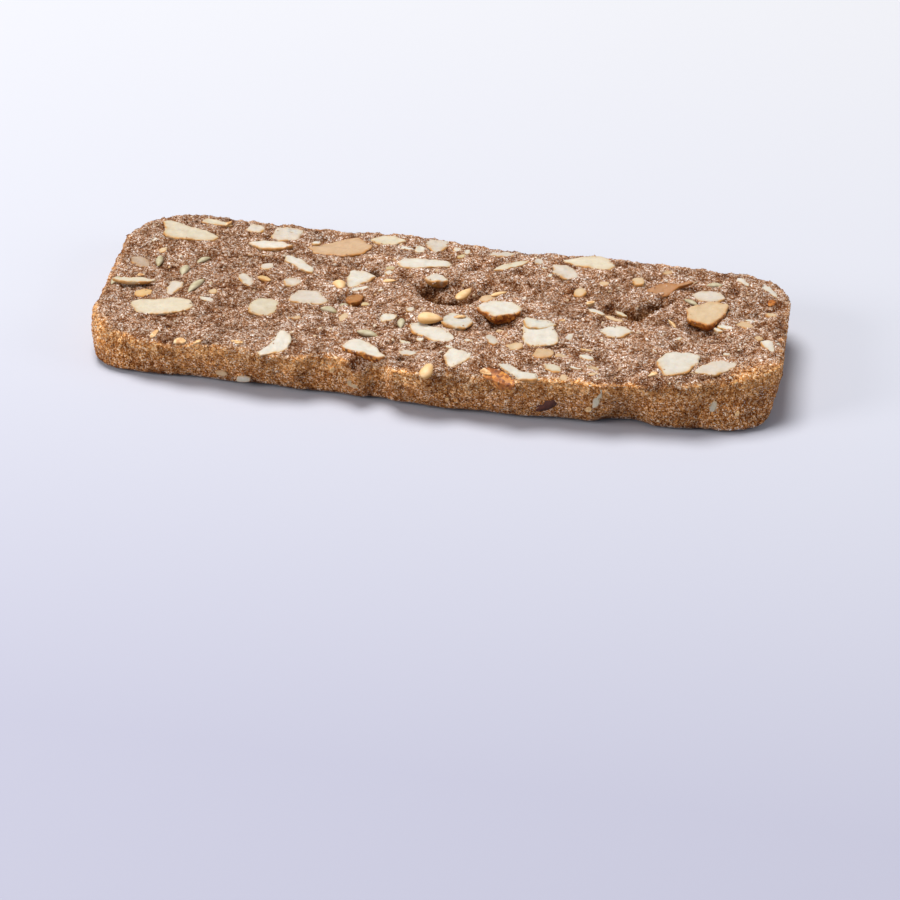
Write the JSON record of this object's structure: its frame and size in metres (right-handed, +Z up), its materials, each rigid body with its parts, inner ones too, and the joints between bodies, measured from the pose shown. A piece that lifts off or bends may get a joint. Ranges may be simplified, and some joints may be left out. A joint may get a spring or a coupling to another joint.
{
  "type": "multigrain biscuit",
  "caption": "Oblong baked biscuit slab, slightly wedge-shaped, with crumbly rounded edges, shallow craters and chopped nuts and seeds set in its top; lies flat on its underside.",
  "frame": {"origin": "centre of the biscuit's plan, on the flat underside", "axes": "+X along the length towards the thicker end, +Y to the back, +Z up through the top"},
  "size_m": [0.1, 0.0403, 0.0087],
  "materials": {
    "dough": "dry, sandy baked crumb, toasted along its edges",
    "nut_flesh": "cut nut flesh, waxy, with brown skin at some sides",
    "seed_coat": "smooth dull seed coats",
    "dried_fruit": "wrinkled dried fruit",
    "sugar": "loose sugar grains and pale crumbs"
  },
  "bodies": {
    "root": {"biscuit": "dough"}
  },
  "joints": []
}
